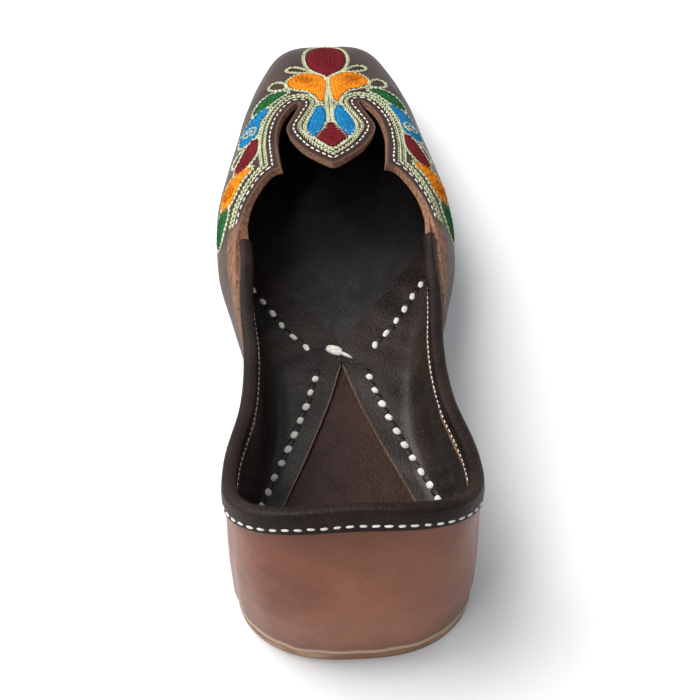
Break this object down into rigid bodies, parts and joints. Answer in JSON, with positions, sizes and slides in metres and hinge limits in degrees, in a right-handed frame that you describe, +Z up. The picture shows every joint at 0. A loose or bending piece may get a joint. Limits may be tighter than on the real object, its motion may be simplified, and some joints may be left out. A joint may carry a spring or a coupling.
{
  "type": "mojari shoe",
  "caption": "Flat leather slip-on with a spade-shaped tongue between two cut-outs, side wings lapped over the quarter, a bound topline and a flat sole.",
  "frame": {"origin": "bottom of the shoe, under the middle of its length and width", "axes": "+X to the wearer's right, +Y from the heel towards the toe, +Z up from the floor"},
  "size_m": [0.0884, 0.2884, 0.0632],
  "materials": {
    "upper_leather": "burnished tan and dark brown leather, satin",
    "lining_leather": "dark brown grained leather, satin",
    "binding_leather": "dark brown smooth leather, satin",
    "heel_seat_leather": "brown pebbled leather, satin",
    "forepart_leather": "black pebbled leather, satin",
    "dark_edge_leather": "dark stained edge",
    "sole_leather": "natural tan sole leather, matt"
  },
  "bodies": {
    "root": {"outsole": "sole_leather", "midsole": "dark_edge_leather", "insole_heel": "heel_seat_leather", "insole_forepart": "forepart_leather", "upper": "upper_leather", "lining_left": "lining_leather", "lining_right": "lining_leather", "collar_binding": "binding_leather"}
  },
  "joints": []
}
